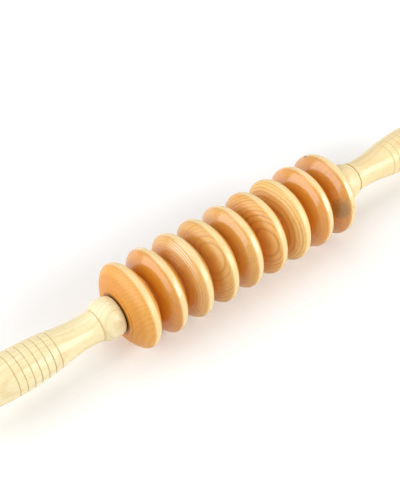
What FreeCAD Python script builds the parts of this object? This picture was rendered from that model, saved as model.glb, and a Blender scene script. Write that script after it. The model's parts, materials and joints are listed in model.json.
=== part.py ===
# Wooden massage roller: nine lens-shaped discs turning on a dowel between two turned handles.
#
# The roller lies on its discs. X runs along the dowel, Z is up, and the origin is on the floor
# under the middle disc. All sizes are in millimetres.
import FreeCAD, Part
import math
import os
import Sketcher

DISC_COUNT = 9
RING_COUNT = 7

doc = FreeCAD.newDocument("massage_roller")

# Driving dimensions. Each alias is one size that can be changed by itself.
SIZES = {
    # dowel that carries everything
    "dowel_radius": 6.0,
    "dowel_chamfer": 0.8,
    "dowel_depth": 38.0,        # how far it is glued into each handle
    "glue_pocket": 2.0,         # room left past its end
    "glue_gap": 0.05,           # radial gap that the glue fills
    # discs
    "disc_radius": 30.0,
    "disc_pitch": 21.0,
    "disc_gap": 0.2,            # between hubs that face each other
    "bore_clearance": 0.08,     # radial, disc on dowel
    "hub_radius": 17.0,
    "hub_step": 0.5,            # the hub stands this proud of the lens
    "lens_curve": 24.0,         # radius of the curved face in section
    "rim_width": 4.4,
    "rim_crown": 0.25,          # height of the rounded rim in its middle
    "rim_edge": 1.2,            # rounding where rim and face meet
    "bore_chamfer": 0.6,
    # handles, with places measured from the face beside the discs
    "handle_gap": 0.3,
    "handle_length": 115.2,
    "bead_face_radius": 12.4,
    "bead_edge": 2.6,
    "bead_curve": 14.0,
    "bead_length": 15.9,
    "crease_radius": 11.2,
    "neck_place": 24.0,
    "neck_radius": 10.4,
    "grip_place": 74.0,
    "grip_radius": 14.6,
    "grip_curve": 190.0,
    "end_edge": 5.0,
    "ring_place": 48.0,         # first turned ring groove
    "ring_pitch": 5.15,
    "ring_radius": 0.5,         # tool radius of a ring groove
    "ring_depth": 0.45,
}

# Sizes that follow from the driving ones, kept as formulas in the sheet.
FORMULAS = {
    "axle_height": "=disc_radius",
    "hub_half": "=(disc_pitch - disc_gap) / 2",
    "rim_half": "=rim_width / 2",
    "shoulder_radius": "=disc_radius - rim_crown",
    "bore_radius": "=dowel_radius + bore_clearance",
    "stack_half": f"=disc_pitch * {DISC_COUNT - 1} / 2 + hub_half",
    "handle_start": "=stack_half + handle_gap",
    "dowel_length": "=2 * (handle_start + dowel_depth)",
    "socket_radius": "=dowel_radius + glue_gap",
    "socket_depth": "=dowel_depth + glue_pocket",
    "grip_centre_drop": "=grip_curve - grip_radius",
}

sheet = doc.addObject("Spreadsheet::Sheet", "Sizes")
for row, (alias, value) in enumerate([*SIZES.items(), *FORMULAS.items()], start=1):
    sheet.set(f"A{row}", alias)
    sheet.set(f"B{row}", str(value))
    sheet.setAlias(f"B{row}", alias)
doc.recompute()


def size(alias):
    """A size's value now, for a sketch's first shape."""
    return float(sheet.get(alias))


def cell(alias):
    return f"<<Sizes>>.{alias}"


def point(x, y):
    return FreeCAD.Vector(x, y, 0)


def new_body(name):
    body = doc.addObject("PartDesign::Body", name)
    body.Label = name
    return body


def origin_plane(body, role):
    return next(f for f in body.Origin.OriginFeatures if f.Role == role)


def new_sketch(body, name, plane="XY_Plane"):
    sketch = body.newObject("Sketcher::SketchObject", name)
    sketch.AttachmentSupport = [(origin_plane(body, plane), "")]
    sketch.MapMode = "FlatFace"
    return sketch


def bind(sketch, label, alias, kind, *geometry):
    """Adds a dimension and ties it to a cell of the sheet."""
    index = sketch.addConstraint(Sketcher.Constraint(kind, *geometry, size(alias)))
    sketch.renameConstraint(index, label)
    sketch.setExpression(f"Constraints.{label}", cell(alias))


def arc_about(centre, radius, first, second):
    """The shorter arc between two points, drawn anticlockwise as a sketch keeps it."""
    angles = [math.atan2(p.y - centre.y, p.x - centre.x) for p in (first, second)]
    sweep = (angles[1] - angles[0]) % (2 * math.pi)
    if sweep > math.pi:
        angles.reverse()
    circle = Part.Circle(centre, FreeCAD.Vector(0, 0, 1), radius)
    return Part.ArcOfCircle(circle, angles[0], angles[1])


def arc_between(start, end, radius, bulge_up=True):
    """Arc of that radius between two points, bulging away from the axis or towards it."""
    chord = end - start
    height = math.sqrt(radius**2 - (chord.Length / 2) ** 2)
    normal = point(-chord.y, chord.x).normalize()
    if (normal.y > 0) == bulge_up:
        normal = normal * -1
    return arc_about((start + end) * 0.5 + normal * height, radius, start, end)


ORIGIN, X_AXIS = -1, -1
START, END, CENTRE = 1, 2, 3


def arc_ends(sketch, arc, start):
    """The arc's vertices as (the one at the start point, the other): a sketch stores arcs anticlockwise."""
    at_start = sketch.Geometry[arc].StartPoint.distanceToPoint(start) < 1e-6
    return (START, END) if at_start else (END, START)


def join(sketch, a, a_end, b, b_end):
    sketch.addConstraint(Sketcher.Constraint("Coincident", a, a_end, b, b_end))


def place(sketch, geometry, vertex, label, along=None, out=None):
    """Fixes a vertex's distance along the axis and out from it."""
    if along:
        bind(sketch, label + "_along", along, "DistanceX", ORIGIN, START, geometry, vertex)
    if out:
        bind(sketch, label + "_out", out, "DistanceY", ORIGIN, START, geometry, vertex)


def revolve(body, sketch, name):
    turned = body.newObject("PartDesign::Revolution", name)
    turned.Profile = sketch
    turned.ReferenceAxis = (sketch, ["H_Axis"])
    turned.Angle = 360.0
    doc.recompute()
    return turned


def edges_at(shape, radius, along):
    """Names of the full circles of that radius at that distance along the axis."""
    found = []
    for number, edge in enumerate(shape.Edges, start=1):
        curve = edge.Curve
        if isinstance(curve, Part.Circle) and abs(curve.Radius - radius) < 1e-4:
            if abs(abs(curve.Center.x) - along) < 1e-4:
                found.append(f"Edge{number}")
    return found


def round_edges(body, base, kind, name, edges, alias):
    """A fillet or a chamfer on those edges, sized by the sheet."""
    if not edges:
        raise RuntimeError(f"{name} found no edge")
    dressed = body.newObject(f"PartDesign::{kind}", name)
    dressed.Base = (base, edges)
    dressed.setExpression("Radius" if kind == "Fillet" else "Size", cell(alias))
    doc.recompute()
    return dressed


# Dowel: one straight beech rod that every disc turns on, with a handle glued on each end.
def make_dowel():
    body = new_body("axle_dowel")
    sketch = new_sketch(body, "dowel_section", "YZ_Plane")
    circle = sketch.addGeometry(Part.Circle(point(0, 0), FreeCAD.Vector(0, 0, 1), size("dowel_radius")), False)
    join(sketch, circle, CENTRE, ORIGIN, START)
    bind(sketch, "dowel", "dowel_radius", "Radius", circle)
    rod = body.newObject("PartDesign::Pad", "dowel_length")
    rod.Profile = sketch
    rod.Midplane = True
    rod.Length = size("dowel_length")
    rod.setExpression("Length", cell("dowel_length"))
    doc.recompute()
    ends = edges_at(rod.Shape, size("dowel_radius"), size("dowel_length") / 2)
    round_edges(body, rod, "Chamfer", "dowel_ends", ends, "dowel_chamfer")
    body.setExpression("Placement.Base.z", cell("axle_height"))
    return body


# Disc: turned from a board, thick at the hub and thin at the rounded rim, with a through bore.
def make_disc(number):
    body = new_body(f"disc_{number}")
    hub, hub_r, bore = size("hub_half"), size("hub_radius"), size("bore_radius")
    rim, shoulder, outer = size("rim_half"), size("shoulder_radius"), size("disc_radius")
    lens = hub - size("hub_step")
    sketch = new_sketch(body, f"disc_{number}_section")

    def add(shape):
        return sketch.addGeometry(shape, False)

    bore_line = add(Part.LineSegment(point(-hub, bore), point(hub, bore)))
    face_right = add(Part.LineSegment(point(hub, bore), point(hub, hub_r)))
    step_right = add(Part.LineSegment(point(hub, hub_r), point(lens, hub_r)))
    lens_right = add(arc_between(point(lens, hub_r), point(rim, shoulder), size("lens_curve")))
    crown_radius = (rim**2 + (outer - shoulder) ** 2) / (2 * (outer - shoulder))
    crown = add(arc_between(point(rim, shoulder), point(-rim, shoulder), crown_radius))
    lens_left = add(arc_between(point(-rim, shoulder), point(-lens, hub_r), size("lens_curve")))
    step_left = add(Part.LineSegment(point(-lens, hub_r), point(-hub, hub_r)))
    face_left = add(Part.LineSegment(point(-hub, hub_r), point(-hub, bore)))

    lens_in, lens_out = arc_ends(sketch, lens_right, point(lens, hub_r))
    crown_right, crown_left = arc_ends(sketch, crown, point(rim, shoulder))
    left_out, left_in = arc_ends(sketch, lens_left, point(-rim, shoulder))
    join(sketch, bore_line, END, face_right, START)
    join(sketch, face_right, END, step_right, START)
    join(sketch, step_right, END, lens_right, lens_in)
    join(sketch, lens_right, lens_out, crown, crown_right)
    join(sketch, crown, crown_left, lens_left, left_out)
    join(sketch, lens_left, left_in, step_left, START)
    join(sketch, step_left, END, face_left, START)
    join(sketch, face_left, END, bore_line, START)
    for line in (step_right, step_left):
        sketch.addConstraint(Sketcher.Constraint("Horizontal", line))
    for line in (face_right, face_left):
        sketch.addConstraint(Sketcher.Constraint("Vertical", line))
    mirror_axis = -2
    for geometry, first, other, second in (
        (bore_line, START, bore_line, END),
        (crown, crown_right, crown, crown_left),
        (step_left, START, step_right, END),
    ):
        sketch.addConstraint(Sketcher.Constraint("Symmetric", geometry, first, other, second, mirror_axis))
    sketch.addConstraint(Sketcher.Constraint("Equal", lens_right, lens_left))
    place(sketch, face_right, START, "hub", "hub_half", "bore_radius")
    place(sketch, face_right, END, "hub_edge", None, "hub_radius")
    bind(sketch, "step", "hub_step", "DistanceX", step_right, END, step_right, START)
    place(sketch, crown, crown_right, "shoulder", "rim_half", "shoulder_radius")
    bind(sketch, "lens", "lens_curve", "Radius", lens_right)
    index = sketch.addConstraint(Sketcher.Constraint("Radius", crown, crown_radius))
    sketch.renameConstraint(index, "crown")
    rise, half = cell("rim_crown"), cell("rim_half")
    sketch.setExpression("Constraints.crown", f"({half} * {half} + {rise} * {rise}) / (2 * {rise})")

    turned = revolve(body, sketch, f"disc_{number}_turned")
    rims = edges_at(turned.Shape, size("shoulder_radius"), size("rim_half"))
    rounded = round_edges(body, turned, "Fillet", f"disc_{number}_rim", rims, "rim_edge")
    mouths = edges_at(rounded.Shape, size("bore_radius"), size("hub_half"))
    round_edges(body, rounded, "Chamfer", f"disc_{number}_bore", mouths, "bore_chamfer")
    steps_from_middle = number - (DISC_COUNT + 1) / 2
    body.setExpression("Placement.Base.x", f"{cell('disc_pitch')} * {steps_from_middle}")
    body.setExpression("Placement.Base.z", cell("axle_height"))
    return body


# Handle: one turning with a bead beside the discs, a neck, and a barrel grip with seven cut rings.
def make_handle(name, side):
    body = new_body(name)
    length, face_r = size("handle_length"), size("bead_face_radius")
    bead, crease = size("bead_length"), size("crease_radius")
    neck, neck_r = size("neck_place"), size("neck_radius")
    grip, grip_r, grip_curve = size("grip_place"), size("grip_radius"), size("grip_curve")
    sketch = new_sketch(body, name + "_section")

    def add(shape):
        return sketch.addGeometry(shape, False)

    # The two long arcs are tangent where neck turns into grip, which fixes the sum of their radii.
    rise = grip_r - neck_r
    both = ((grip - neck) ** 2 + rise**2) / (2 * rise)
    neck_curve = both - grip_curve
    share = neck_curve / both
    bend = point(neck + (grip - neck) * share, neck_r + neck_curve - (both - rise) * share)
    grip_centre = point(grip, grip_r - grip_curve)
    end_r = grip_centre.y + (grip_curve**2 - (length - grip) ** 2) ** 0.5
    in_curve = ((neck - bead) ** 2 + (crease - neck_r) ** 2) / (2 * (crease - neck_r))

    axis_line = add(Part.LineSegment(point(0, 0), point(length, 0)))
    face_line = add(Part.LineSegment(point(0, 0), point(0, face_r)))
    bead_arc = add(arc_between(point(0, face_r), point(bead, crease), size("bead_curve")))
    in_arc = add(arc_between(point(bead, crease), point(neck, neck_r), in_curve, bulge_up=False))
    out_arc = add(arc_between(point(neck, neck_r), bend, neck_curve, bulge_up=False))
    grip_arc = add(arc_about(grip_centre, grip_curve, bend, point(length, end_r)))
    end_line = add(Part.LineSegment(point(length, end_r), point(length, 0)))

    bead_start, bead_end = arc_ends(sketch, bead_arc, point(0, face_r))
    in_start, in_end = arc_ends(sketch, in_arc, point(bead, crease))
    out_start, out_end = arc_ends(sketch, out_arc, point(neck, neck_r))
    grip_start, grip_end = arc_ends(sketch, grip_arc, bend)
    join(sketch, axis_line, START, ORIGIN, START)
    join(sketch, face_line, START, ORIGIN, START)
    join(sketch, face_line, END, bead_arc, bead_start)
    join(sketch, bead_arc, bead_end, in_arc, in_start)
    join(sketch, in_arc, in_end, out_arc, out_start)
    join(sketch, grip_arc, grip_end, end_line, START)
    join(sketch, end_line, END, axis_line, END)
    sketch.addConstraint(Sketcher.Constraint("PointOnObject", axis_line, END, X_AXIS))
    sketch.addConstraint(Sketcher.Constraint("Vertical", face_line))
    sketch.addConstraint(Sketcher.Constraint("Vertical", end_line))
    place(sketch, axis_line, END, "length", "handle_length")
    place(sketch, face_line, END, "face", None, "bead_face_radius")
    place(sketch, bead_arc, bead_end, "crease", "bead_length", "crease_radius")
    bind(sketch, "bead", "bead_curve", "Radius", bead_arc)
    place(sketch, out_arc, out_start, "neck", "neck_place", "neck_radius")
    place(sketch, in_arc, CENTRE, "neck_in_centre", "neck_place")
    place(sketch, out_arc, CENTRE, "neck_out_centre", "neck_place")
    place(sketch, grip_arc, CENTRE, "grip_centre", "grip_place")
    bind(sketch, "grip_drop", "grip_centre_drop", "DistanceY", grip_arc, CENTRE, ORIGIN, START)
    bind(sketch, "grip", "grip_curve", "Radius", grip_arc)
    sketch.addConstraint(Sketcher.Constraint("Tangent", out_arc, out_end, grip_arc, grip_start))

    turned = revolve(body, sketch, name + "_turned")
    face_edge = edges_at(turned.Shape, face_r, 0)
    bead_round = round_edges(body, turned, "Fillet", name + "_bead_edge", face_edge, "bead_edge")
    end_edge = edges_at(bead_round.Shape, end_r, length)
    end_round = round_edges(body, bead_round, "Fillet", name + "_end", end_edge, "end_edge")

    # Blind socket for the dowel.
    socket_sketch = new_sketch(body, name + "_socket_section", "YZ_Plane")
    socket_shape = Part.Circle(point(0, 0), FreeCAD.Vector(0, 0, 1), size("socket_radius"))
    circle = socket_sketch.addGeometry(socket_shape, False)
    join(socket_sketch, circle, CENTRE, ORIGIN, START)
    bind(socket_sketch, "socket", "socket_radius", "Radius", circle)
    socket = body.newObject("PartDesign::Pocket", name + "_socket")
    socket.Profile = socket_sketch
    socket.Reversed = True
    socket.setExpression("Length", cell("socket_depth"))
    doc.recompute()
    if not socket.Shape.Volume < end_round.Shape.Volume:
        raise RuntimeError(f"{name}: the socket cuts nothing")

    # Ring grooves: a round tool run in by ring_depth at each ring, so that each follows the grip's curve.
    rings_sketch = new_sketch(body, name + "_rings_section")
    tool = size("ring_radius")
    for ring in range(RING_COUNT):
        along = size("ring_place") + size("ring_pitch") * ring
        surface = grip_centre.y + (grip_curve**2 - (along - grip) ** 2) ** 0.5
        centre = point(along, surface + tool - size("ring_depth"))
        circle = rings_sketch.addGeometry(Part.Circle(centre, FreeCAD.Vector(0, 0, 1), tool), False)
        label = f"ring_{ring + 1}"
        bind(rings_sketch, label, "ring_radius", "Radius", circle)
        place_rule = f"{cell('ring_place')} + {cell('ring_pitch')} * {ring}"
        index = rings_sketch.addConstraint(
            Sketcher.Constraint("DistanceX", ORIGIN, START, circle, CENTRE, along)
        )
        rings_sketch.renameConstraint(index, label + "_along")
        rings_sketch.setExpression(f"Constraints.{label}_along", place_rule)
        index = rings_sketch.addConstraint(
            Sketcher.Constraint("DistanceY", ORIGIN, START, circle, CENTRE, centre.y)
        )
        rings_sketch.renameConstraint(index, label + "_out")
        offset = f"({place_rule} - {cell('grip_place')})"
        arc_height = f"sqrt({cell('grip_curve')} ^ 2 - {offset} ^ 2) - {cell('grip_centre_drop')}"
        rings_sketch.setExpression(
            f"Constraints.{label}_out", f"{arc_height} + {cell('ring_radius')} - {cell('ring_depth')}"
        )
    rings = body.newObject("PartDesign::Groove", name + "_rings")
    rings.Profile = rings_sketch
    rings.ReferenceAxis = (rings_sketch, ["H_Axis"])
    rings.Angle = 360.0
    doc.recompute()
    if not rings.Shape.Volume < socket.Shape.Volume:
        raise RuntimeError(f"{name}: the rings cut nothing")

    if side < 0:
        body.Placement.Rotation = FreeCAD.Rotation(FreeCAD.Vector(0, 0, 1), 180)
    sign = "" if side > 0 else "-"
    body.setExpression("Placement.Base.x", f"{sign}{cell('handle_start')}")
    body.setExpression("Placement.Base.z", cell("axle_height"))
    return body


bodies = [make_dowel(), make_handle("left_handle", -1), make_handle("right_handle", 1)]
bodies += [make_disc(number) for number in range(1, DISC_COUNT + 1)]
doc.recompute()

for item in doc.Objects:
    if {"Invalid", "Error"} & set(item.State):
        raise RuntimeError(f"{item.Name} failed: {item.State}")

os.makedirs("parts", exist_ok=True)
for body in bodies:
    if body.Shape.isNull() or not body.Shape.isValid() or len(body.Shape.Solids) != 1:
        raise RuntimeError(f"{body.Label} is not one valid solid")
    body.Shape.exportStep(f"parts/{body.Label}.step")
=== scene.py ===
"""Wooden massage roller: nine turned discs on a dowel between two turned handles."""
import json
import math

import bmesh
import bpy
from mathutils import Matrix, Vector


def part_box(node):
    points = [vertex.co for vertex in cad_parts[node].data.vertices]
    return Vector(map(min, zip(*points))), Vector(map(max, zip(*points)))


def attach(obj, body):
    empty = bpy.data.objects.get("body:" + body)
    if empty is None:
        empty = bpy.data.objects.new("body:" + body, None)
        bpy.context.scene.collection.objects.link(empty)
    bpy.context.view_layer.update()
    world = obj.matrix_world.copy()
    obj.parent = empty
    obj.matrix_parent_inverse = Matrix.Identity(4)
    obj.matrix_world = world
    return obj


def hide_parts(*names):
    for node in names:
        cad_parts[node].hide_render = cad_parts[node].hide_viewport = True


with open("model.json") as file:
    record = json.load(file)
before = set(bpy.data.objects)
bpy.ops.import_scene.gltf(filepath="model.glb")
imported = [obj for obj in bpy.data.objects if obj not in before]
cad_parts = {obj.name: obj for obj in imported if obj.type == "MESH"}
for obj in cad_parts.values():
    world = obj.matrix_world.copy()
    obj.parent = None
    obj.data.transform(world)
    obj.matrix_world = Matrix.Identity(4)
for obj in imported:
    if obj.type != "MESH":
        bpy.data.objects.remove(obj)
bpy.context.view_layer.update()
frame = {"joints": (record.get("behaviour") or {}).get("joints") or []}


# Dowel: a straight beech rod, sanded and left bare, that the discs turn on.
# Its chamfered ends are glued into the handles, so only slivers show between the hubs.
class Socket:
    """A shader socket. Arithmetic on it adds Math nodes, and node() adds any other kind."""

    def __init__(self, tree, socket):
        self.tree = tree
        self.socket = socket

    def node(self, kind, inputs, output=0, **settings):
        made = self.tree.nodes.new(kind)
        for setting, value in settings.items():
            setattr(made, setting, value)
        for key, value in inputs.items():
            if isinstance(value, Socket):
                self.tree.links.new(value.socket, made.inputs[key])
            else:
                made.inputs[key].default_value = value
        return Socket(self.tree, made.outputs[output])

    def output(self, name):
        """Another output of the node that this socket is on."""
        return Socket(self.tree, self.socket.node.outputs[name])

    def math(self, operation, *values):
        return self.node("ShaderNodeMath", dict(enumerate(values)), operation=operation)

    def __add__(self, other):
        return self.math("ADD", self, other)

    def __sub__(self, other):
        return self.math("SUBTRACT", self, other)

    def __rsub__(self, other):
        return self.math("SUBTRACT", other, self)

    def __mul__(self, other):
        return self.math("MULTIPLY", self, other)

    def __truediv__(self, other):
        return self.math("DIVIDE", self, other)

    def __pow__(self, other):
        return self.math("POWER", self, other)

    def __abs__(self):
        return self.math("ABSOLUTE", self)

    __radd__ = __add__
    __rmul__ = __mul__

    def rise(self, low, high):
        """0 below low, 1 above high, smooth between them."""
        limits = {"Value": self, "From Min": low, "From Max": high}
        return self.node("ShaderNodeMapRange", limits, interpolation_type="SMOOTHSTEP")

    def moved(self, place):
        """This position measured from that place."""
        return self.node("ShaderNodeVectorMath", {0: self, 1: place}, operation="SUBTRACT")

    def stretched(self, sizes):
        """This position divided by a size for each direction."""
        scale = tuple(1 / size for size in sizes)
        return self.node("ShaderNodeVectorMath", {0: self, 1: scale}, operation="MULTIPLY")

    def length(self):
        return self.node("ShaderNodeVectorMath", {0: self}, output="Value", operation="LENGTH")

    def noise(self, detail=2.0, roughness=0.5):
        """Soft noise from 0 to 1, about one lump for each unit of this position."""
        inputs = {"Vector": self, "Scale": 1.0, "Detail": detail, "Roughness": roughness}
        return self.node("ShaderNodeTexNoise", inputs)

    def tint(self, other, share):
        """This colour mixed with another one."""
        return self.node("ShaderNodeMix", {0: share, 6: self, 7: other}, output=2, data_type="RGBA")

    def surface(self, kind):
        """Makes this shader the surface of a new output node."""
        made = self.tree.nodes.new(kind)
        self.tree.links.new(self.socket, made.inputs["Surface"])


def lacquered_wood(name, pale, line, centre, fibres, ring, pith, contrast, coat, marks=(), roughness=0.45):
    """Wood cut from a trunk: growth rings about a pith, fibres along them, and short rays.

    fibres turns a board whose Z runs along the fibres and whose X points at the pith.
    ring is the spacing of the rings, and pith is how far away their middle is.
    coat is how much lacquer there is, from 0 to 1, and more of it is smoother too.
    marks are pairs of a mask, worked out from the position, and the colour that it lays on.
    """
    ring_wander = 0.0016
    ring_drift = 0.03
    lump_size = (0.022, 0.022, 0.09)
    streak_size = (0.0011, 0.0011, 0.03)
    ray_size = (0.0008, 0.0008, 0.004)
    cloud_size = (0.03, 0.03, 0.06)
    warm = (pale[0] * 0.95, pale[1] * 0.84, pale[2] * 0.68)
    material = bpy.data.materials.new(name)
    material.use_nodes = True
    tree = material.node_tree
    shader = tree.nodes["Principled BSDF"]
    position = Socket(tree, tree.nodes.new("ShaderNodeTexCoord").outputs["Object"])
    mapping = {"Vector": position, "Location": centre, "Rotation": fibres.to_euler()}
    board = position.node("ShaderNodeMapping", mapping, vector_type="TEXTURE")

    # Growth rings: each darkens outwards and turns pale again at its edge. Some are fainter.
    wander = board.stretched(lump_size).noise() - 0.5
    across = board.node("ShaderNodeSeparateXYZ", {0: board})
    distance = ((across - pith) ** 2 + across.output("Y") ** 2) ** 0.5
    count = (distance + wander * ring_wander + across.output("Z") * ring_drift) / ring
    phase = count.math("FRACT", count)
    late = phase.rise(0.45, 0.85) * (1 - phase.rise(0.9, 1.0))
    uneven = count.node("ShaderNodeCombineXYZ", {0: count * 0.45}).noise(detail=1.0).rise(0.3, 0.7)
    rings = late * (uneven * 0.6 + 0.4)

    # Fibres: fine streaks along the board, and short rays a shade darker.
    streaks = board.stretched(streak_size).noise(detail=3.0, roughness=0.6)
    rays = board.stretched(ray_size).noise(detail=1.0).rise(0.58, 0.7)
    cloud = board.stretched(cloud_size).noise(detail=1.0)

    # Colour: pale wood with warmer clouds, and the dark parts of the grain drawn over it.
    clouds = {0: cloud.rise(0.3, 0.75) * 0.6, 6: (*pale, 1), 7: (*warm, 1)}
    colour = position.node("ShaderNodeMix", clouds, output=2, data_type="RGBA")
    colour = colour.tint((*line, 1), rings * contrast)
    colour = colour.tint((*line, 1), streaks.rise(0.5, 0.8) * (0.2 + 0.3 * contrast))
    colour = colour.tint((*line, 1), rays * 0.28)
    # Marks go on last; on the discs and handles some of them are painted shade, painted shadow or a
    # painted highlight.
    for mask, shade in marks:
        colour = colour.tint((*shade, 1), mask(position))

    # Surface: the fibres stand a little proud under the lacquer.
    height = streaks * 0.6 + rings * 0.25 - rays * 0.5
    bump = height.node("ShaderNodeBump", {"Height": height, "Strength": 0.3, "Distance": 0.00012})
    tree.links.new(colour.socket, shader.inputs["Base Color"])
    tree.links.new((streaks * 0.12 + rings * 0.04 + roughness).socket, shader.inputs["Roughness"])
    tree.links.new(bump.socket, shader.inputs["Normal"])
    shader.inputs["Coat Weight"].default_value = coat
    shader.inputs["Coat Roughness"].default_value = 0.31 - 0.17 * coat
    shader.inputs["Coat IOR"].default_value = 1.7
    shader.inputs["Specular IOR Level"].default_value = 0.2
    return material


def turned(name, outline, place, material, rounds=(), flip=1):
    """A turning: an outline of (along, out) points, spun about the axle and moved to its place.

    rounds are rings (along, out, width) whose corner is rounded over that width.
    flip is -1 for a turning that faces the other way.
    """
    steps_round = 144
    steps_in_corner = 5
    crisp = math.radians(25)
    near = 1e-6

    def on_ring(vertex, along, out):
        radius = math.hypot(vertex.co.y, vertex.co.z)
        return abs(vertex.co.x - along) < near and abs(radius - out) < near

    mesh = bmesh.new()
    points = [mesh.verts.new((along, out, 0)) for along, out in outline]
    runs = [mesh.edges.new(pair) for pair in zip(points, points[1:])]
    if outline[0][1] > 0:
        runs.append(mesh.edges.new((points[-1], points[0])))
    bmesh.ops.spin(
        mesh, geom=points + runs, axis=(1, 0, 0), angle=math.tau, steps=steps_round, use_merge=True,
    )
    bmesh.ops.remove_doubles(mesh, verts=mesh.verts, dist=1e-7)
    for along, out, width in rounds:
        corner = [edge for edge in mesh.edges if all(on_ring(end, along, out) for end in edge.verts)]
        bmesh.ops.bevel(
            mesh, geom=corner, offset=width, segments=steps_in_corner, profile=0.5,
            affect="EDGES", material=-1,
        )
    bmesh.ops.scale(mesh, vec=(flip, 1, 1), verts=mesh.verts)
    bmesh.ops.translate(mesh, vec=place, verts=mesh.verts)
    bmesh.ops.recalc_face_normals(mesh, faces=mesh.faces)
    for face in mesh.faces:
        face.smooth = True
    for edge in mesh.edges:
        edge.smooth = edge.calc_face_angle(0) < crisp
    data = bpy.data.meshes.new(name)
    mesh.to_mesh(data)
    mesh.free()
    data.materials.append(material)
    piece = bpy.data.objects.new(name, data)
    bpy.context.collection.objects.link(piece)
    return piece


turns = {joint["child"]: joint for joint in frame["joints"]}
axle_height = turns["disc_5"]["pos_m"][2]
along_axle = Matrix.Rotation(math.radians(90), 3, "Y")
dowel_radius = 0.006
dowel_chamfer = 0.0008
dowel_pale = (0.84, 0.64, 0.38)
dowel_line = (0.56, 0.33, 0.15)
dowel_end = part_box("axle_dowel")[1].x
dowel_outline = (
    (-dowel_end, 0),
    (-dowel_end, dowel_radius - dowel_chamfer),
    (-dowel_end + dowel_chamfer, dowel_radius),
    (dowel_end - dowel_chamfer, dowel_radius),
    (dowel_end, dowel_radius - dowel_chamfer),
    (dowel_end, 0),
)
dowel_wood = lacquered_wood(
    "dowel_wood", dowel_pale, dowel_line, (0, 0, axle_height), along_axle,
    ring=0.0019, pith=0.04, contrast=0.35, coat=0.0, roughness=0.55,
)
dowel = turned("dowel", dowel_outline, (0, 0, axle_height), dowel_wood)
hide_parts("axle_dowel")
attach(dowel, "core")


# Discs: nine lens-shaped turnings of beech, drilled through and lacquered, loose on the dowel.
# Each is cut across a board of its own, so the rings run straight on one and as ovals on another.
def arc(start, end, radius, count, bulge=1):
    """Points from start to just before end, along an arc that bulges to the left, or right for -1."""
    start, end = Vector(start), Vector(end)
    half = (end - start) / 2
    left = Vector((-half.y, half.x)).normalized() * bulge
    centre = start + half - left * math.sqrt(radius**2 - half.length_squared)
    first, last = start - centre, end - centre
    turn = math.atan2(first.x * last.y - first.y * last.x, first.dot(last))
    return [centre + Matrix.Rotation(turn * step / count, 2) @ first for step in range(count)]


disc_radius = 0.030
hub_half = (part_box("disc_5")[1].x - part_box("disc_5")[0].x) / 2
hub_radius = 0.017
hub_step = 0.0005
bore_radius = 0.00608
bore_chamfer = 0.0006
lens_curve = 0.024
rim_half = 0.0022
rim_crown = 0.00025
rim_round = 0.0012
hub_round = 0.0002
lens_half = hub_half - hub_step
shoulder = disc_radius - rim_crown
crown_curve = (rim_half**2 + rim_crown**2) / (2 * rim_crown)
disc_outline = [
    (-hub_half + bore_chamfer, bore_radius),
    (-hub_half, bore_radius + bore_chamfer),
    (-hub_half, hub_radius),
    *arc((-lens_half, hub_radius), (-rim_half, shoulder), lens_curve, 16),
    *arc((-rim_half, shoulder), (rim_half, shoulder), crown_curve, 6),
    *arc((rim_half, shoulder), (lens_half, hub_radius), lens_curve, 16),
    (lens_half, hub_radius),
    (hub_half, hub_radius),
    (hub_half, bore_radius + bore_chamfer),
    (hub_half - bore_chamfer, bore_radius),
]
disc_rounds = [
    (side * along, out, width)
    for side in (-1, 1)
    for along, out, width in ((rim_half, shoulder, rim_round), (hub_half, hub_radius, hub_round))
]

# For each disc: how far its fibres lean from upright, how far its rings turn from the face, the
# distance to the pith, the ring spacing, how strongly the rings show, its coat, and its colour.
boards = (
    (20, 60, 0.070, 0.0022, 0.30, 0.35, (0.84, 0.40, 0.070)),
    (-35, 50, 0.090, 0.0028, 0.25, 0.80, (0.74, 0.31, 0.018)),
    (-10, 3, 0.300, 0.0010, 0.50, 0.60, (0.81, 0.46, 0.130)),
    (-50, 17, 0.080, 0.0014, 0.60, 0.45, (0.78, 0.45, 0.120)),
    (10, 60, 0.090, 0.0030, 0.20, 0.85, (0.77, 0.395, 0.070)),
    (-25, 16, 0.083, 0.0014, 0.80, 0.40, (0.84, 0.46, 0.120)),
    (0, 2, 0.300, 0.00145, 0.85, 0.35, (0.92, 0.60, 0.200)),
    (0, 8, 0.300, 0.0013, 0.40, 0.95, (0.78, 0.33, 0.020)),
    (-20, 40, 0.070, 0.0024, 0.40, 0.85, (0.70, 0.31, 0.035)),
)
ring_line = (0.52, 0.205, 0.04)
# Painted shade: the darker amber laid round each disc's hub.
face_shade_amber = (0.62, 0.21, 0.010)
# Painted shadow: the dark brown laid on the hub by the bore.
bore_shadow_brown = (0.12, 0.032, 0.004)
worn_pale = (0.97, 0.80, 0.56)
# Pale cream for the rim, partly paler wood and partly a painted highlight.
rim_cream_highlight = (0.97, 0.76, 0.38)


def out_from_axle(position):
    """How far a position is from the axle. A huge size along X leaves only what is across it."""
    return position.moved((0, 0, axle_height)).stretched((1e6, 1, 1)).length()


def pale_rim_and_highlight(middle):
    """A mask of the rim, pale from near its middle to its +X side: partly paler sanded wood, partly a
    painted highlight of the light on the rim.
    """
    def mask(position):
        from_middle = position.moved(middle)
        along = from_middle.node("ShaderNodeSeparateXYZ", {0: from_middle})
        return out_from_axle(position).rise(0.0276, 0.0290) * along.rise(-0.0024, -0.0005) * 0.8
    return mask


def face_painted_shade(position):
    """Painted shade: a mask of the face round the hub, darkened where the neighbouring discs shade it."""
    return (1 - out_from_axle(position).rise(0.0235, 0.0275)) * 0.5


def bore_painted_shadow(position):
    """Painted shadow: a mask of the flat hub near the bore, darkened as the shadow in the gap beside the
    next piece.
    """
    return (1 - out_from_axle(position).rise(0.0122, 0.0158)) * 0.9


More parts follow.
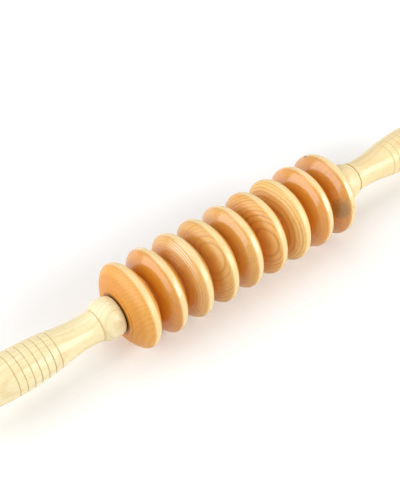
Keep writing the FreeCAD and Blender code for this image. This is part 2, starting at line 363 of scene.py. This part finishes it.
def spot(place, size):
    """A mask that is 1 at that place and fades out over that size, with a ragged edge."""
    lump = 0.002

    def mask(position):
        ragged = position.stretched((lump, lump, lump)).noise(detail=3.0) * 1.6 + 0.2
        return 1 - (position.moved(place).length() / size * ragged).rise(0.4, 1.0)
    return mask


def scuffs(place, size):
    """A mask of fine scratches that run round a disc, about one place on it."""
    scratch = 0.0005

    def mask(position):
        radius = out_from_axle(position)
        across = radius.node("ShaderNodeCombineXYZ", {0: radius / scratch})
        return across.noise(detail=1.0).rise(0.48, 0.6) * spot(place, size)(position) * 0.75
    return mask


# The third disc is scuffed near the top of its rim. The last one has a brown-grey stain near its
# front edge and a small dark mark on top.
third_disc = Vector(turns["disc_3"]["pos_m"])
last_disc = Vector(turns["disc_9"]["pos_m"])
stains = {
    3: [(scuffs(third_disc + Vector((-0.0035, -0.0050, 0.0270)), 0.013), worn_pale)],
    9: [
        (spot(last_disc + Vector((-0.007, -0.0235, 0.006)), 0.010), (0.40, 0.20, 0.04)),
        (spot(last_disc + Vector((-0.002, 0.0193, 0.0230)), 0.0022), (0.25, 0.12, 0.05)),
    ],
}

for number, (lean, layers, pith, ring, contrast, coat, tone) in enumerate(boards, start=1):
    node = f"disc_{number}"
    middle = Vector(turns[node]["pos_m"])
    fibres = Matrix.Rotation(math.radians(lean), 3, "X") @ Matrix.Rotation(math.radians(layers), 3, "Z")
    # Marks: painted shade round the hub, painted shadow by the bore, and a pale rim that is partly a
    # painted highlight.
    marks = [(face_painted_shade, face_shade_amber), (bore_painted_shadow, bore_shadow_brown), (pale_rim_and_highlight(middle), rim_cream_highlight)]
    disc_wood = lacquered_wood(
        f"disc_wood_{number}", tone, ring_line, middle, fibres, ring, pith, contrast, coat,
        marks + stains.get(number, []),
    )
    disc = turned(f"turned_disc_{number}", disc_outline, middle, disc_wood, disc_rounds)
    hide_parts(node)
    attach(disc, node)


# Handles: one pale beech turning on each end, with a bead against the discs, a slim neck,
# and a barrel grip with seven rings cut into it. The dowel is glued into a blind socket.
handle_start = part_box("right_handle")[0].x
handle_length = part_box("right_handle")[1].x - handle_start
socket_radius = 0.00605
socket_depth = 0.040
face_radius = 0.0124
bead_curve = 0.014
bead_end = (0.0159, 0.0106)
crease_end = (0.0162, 0.0112)
neck = (0.024, 0.0104)
grip_middle = 0.074
grip_radius = 0.0146
grip_curve = 0.190
first_ring = 0.048
ring_pitch = 0.00515
ring_tool = 0.0005
ring_depth = 0.00045
ring_count = 7
beside_ring = 0.001
face_round = 0.0015
end_round = 0.0040


def grip_surface(along):
    return grip_radius - grip_curve + math.sqrt(grip_curve**2 - (along - grip_middle) ** 2)


def grip_stretch(start, end, count):
    """Points along the barrel from start to just before end."""
    places = [start + (end - start) * step / count for step in range(count)]
    return [(along, grip_surface(along)) for along in places]


def cut_ring(along):
    """Points of one ring groove, cut by a round tool."""
    bottom = grip_surface(along) + ring_tool - ring_depth
    angles = [math.radians(angle) for angle in range(-84, 85, 24)]
    return [(along + ring_tool * math.sin(a), bottom - ring_tool * math.cos(a)) for a in angles]


# Where neck turns into barrel the two arcs share a tangent, which fixes the neck's curve. The arc
# from the crease behind the bead runs level into the neck's thinnest place in the same way.
drop = grip_radius - neck[1]
both_curves = ((grip_middle - neck[0]) ** 2 + drop**2) / (2 * drop)
neck_curve = both_curves - grip_curve
bend = neck[0] + (grip_middle - neck[0]) * neck_curve / both_curves
crease_drop = crease_end[1] - neck[1]
crease_curve = ((neck[0] - crease_end[0]) ** 2 + crease_drop**2) / (2 * crease_drop)
rings = [first_ring + ring_pitch * number for number in range(ring_count)]
handle_outline = [
    (socket_depth, 0),
    (socket_depth, socket_radius),
    (0, socket_radius),
    *arc((0, face_radius), bead_end, bead_curve, 14),
    bead_end,
    *arc(crease_end, neck, crease_curve, 5, bulge=-1),
    *arc(neck, (bend, grip_surface(bend)), neck_curve, 10, bulge=-1),
    *grip_stretch(bend, rings[0] - beside_ring, 6),
]
for along in rings:
    handle_outline += cut_ring(along)
    handle_outline += grip_stretch(along + beside_ring, along + ring_pitch - beside_ring, 3)
handle_outline += grip_stretch(rings[-1] + ring_pitch, handle_length, 16)
handle_outline += [(handle_length, grip_surface(handle_length)), (handle_length, 0)]
handle_rounds = [
    (0, face_radius, face_round),
    (handle_length, grip_surface(handle_length), end_round),
]


def in_ring(position):
    """A mask of the ring grooves' bottoms, which it darkens."""
    along = abs(position.node("ShaderNodeSeparateXYZ", {0: position})) - (handle_start + first_ring)
    nearest = along.math("ROUND", along / ring_pitch)
    nearest = nearest.math("MINIMUM", nearest.math("MAXIMUM", nearest, 0), ring_count - 1)
    return 0.5 * (1 - abs(along - nearest * ring_pitch).rise(0.0001, 0.0004))


def crease_painted_shade(position):
    """Painted shade: a mask of the crease behind the bead, darkened as the shade line there."""
    along = abs(position.node("ShaderNodeSeparateXYZ", {0: position})) - (handle_start + crease_end[0])
    return 0.4 * (1 - abs(along).rise(0.0001, 0.0010))


handle_line = (0.70, 0.46, 0.20)
ring_brown = (0.40, 0.28, 0.12)
# Painted shade: the brown laid in the crease behind the bead.
crease_shade_brown = (0.55, 0.34, 0.12)
for side, flip, trunk_turn, tone in (
    ("left", -1, 70, (0.95, 0.87, 0.56)),
    ("right", 1, 200, (0.94, 0.78, 0.44)),
):
    node = f"{side}_handle"
    start = Vector((flip * handle_start, 0, axle_height))
    fibres = Matrix.Rotation(math.radians(trunk_turn), 3, "X") @ along_axle
    handle_wood = lacquered_wood(
        f"{side}_handle_wood", tone, handle_line, start, fibres,
        ring=0.0026, pith=0.035, contrast=0.36, coat=0.45,
        # The crease mark is painted shade.
        marks=[(in_ring, ring_brown), (crease_painted_shade, crease_shade_brown)],
    )
    handle = turned(f"turned_{side}_handle", handle_outline, start, handle_wood, handle_rounds, flip)
    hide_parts(node)
    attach(handle, "core")


# Floor: a wide white round board that the roller lies on. It glows a little where the camera or a
# reflection sees it, and more away from the roller, so it comes out white and keeps the shadows.
floor_radius = 1.5
floor_mesh = bmesh.new()
bmesh.ops.create_circle(floor_mesh, cap_ends=True, segments=96, radius=floor_radius)
floor_data = bpy.data.meshes.new("floor")
floor_mesh.to_mesh(floor_data)
floor_mesh.free()
floor = bpy.data.objects.new("floor", floor_data)
bpy.context.collection.objects.link(floor)
floor_paint = bpy.data.materials.new("floor_paint")
floor_paint.use_nodes = True
floor_data.materials.append(floor_paint)
tree = floor_paint.node_tree
tree.nodes.clear()
ray = Socket(tree, tree.nodes.new("ShaderNodeLightPath").outputs["Is Camera Ray"])
seen = ray.math("MAXIMUM", ray, ray.output("Is Glossy Ray"))
matt = ray.node("ShaderNodeBsdfDiffuse", {"Color": (0.85, 0.845, 0.84, 1)})
place = Socket(tree, tree.nodes.new("ShaderNodeTexCoord").outputs["Object"])
shadow_middle = (0, -0.07, 0)
away = place.moved(shadow_middle).stretched((1.6, 1, 1)).length().rise(0.11, 0.36)
glow = ray.node("ShaderNodeEmission", {"Color": (1, 1, 1, 1), "Strength": seen * (away * 0.5 + 0.185)})
both = ray.node("ShaderNodeAddShader", {0: matt, 1: glow})
both.surface("ShaderNodeOutputMaterial")

# Light: three soft boxes in a room that looks white and gives little light itself. A broad one
# behind on the left gives the glossy discs their pale crescents, one at the front on the right
# lights the rims, and a third lights the roller from above.
world = bpy.data.worlds.new("white_room")
bpy.context.scene.world = world
world.use_nodes = True
tree = world.node_tree
tree.nodes.clear()
ray = Socket(tree, tree.nodes.new("ShaderNodeLightPath").outputs["Is Camera Ray"])
seen = ray.math("MAXIMUM", ray, ray.output("Is Glossy Ray"))
room_light = 0.08
strength = seen * (1 - room_light) + room_light
room = ray.node("ShaderNodeBackground", {"Color": (1, 1, 1, 1), "Strength": strength})
room.surface("ShaderNodeOutputWorld")

# For each box: its bearing from the roller, its height and distance, its own width and height, and
# its power.
roller_middle = Vector((0, 0, axle_height))
for name, bearing, height, distance, width, tall, power in (
    ("left_box", 165, 0.85, 1.80, 3.2, 1.70, 43),
    ("right_box", 306, 0.70, 1.50, 1.3, 0.95, 24),
    ("top_box", 100, 1.40, 0.40, 1.3, 1.30, 9.5),
):
    lamp = bpy.data.lights.new(name, "AREA")
    lamp.shape = "RECTANGLE"
    lamp.size = width
    lamp.size_y = tall
    lamp.energy = power
    holder = bpy.data.objects.new(name, lamp)
    bearing = math.radians(bearing)
    holder.location = (distance * math.cos(bearing), distance * math.sin(bearing), height)
    toward = holder.location - roller_middle
    holder.rotation_euler = toward.to_track_quat("Z", "Y").to_euler()
    holder.visible_camera = False
    bpy.context.collection.objects.link(holder)

# Camera: a long lens that looks down along the roller from the left handle's side.
azimuth = math.radians(-38.8164)
elevation = math.radians(44.9255)
camera_distance = 0.70514
aim_right = 0.021054
aim_up = 0.002124
back = Vector((
    math.sin(azimuth) * math.cos(elevation),
    -math.cos(azimuth) * math.cos(elevation),
    math.sin(elevation),
))
right = Vector((math.cos(azimuth), math.sin(azimuth), 0))
up = back.cross(right)
lens = bpy.data.cameras.new("camera")
lens.lens = 76.12
lens.sensor_width = 36
camera = bpy.data.objects.new("camera", lens)
camera.location = roller_middle + back * camera_distance - right * aim_right - up * aim_up
camera.rotation_euler = back.to_track_quat("Z", "Y").to_euler()
bpy.context.collection.objects.link(camera)
bpy.context.scene.camera = camera
bpy.context.scene.view_settings.view_transform = "Standard"
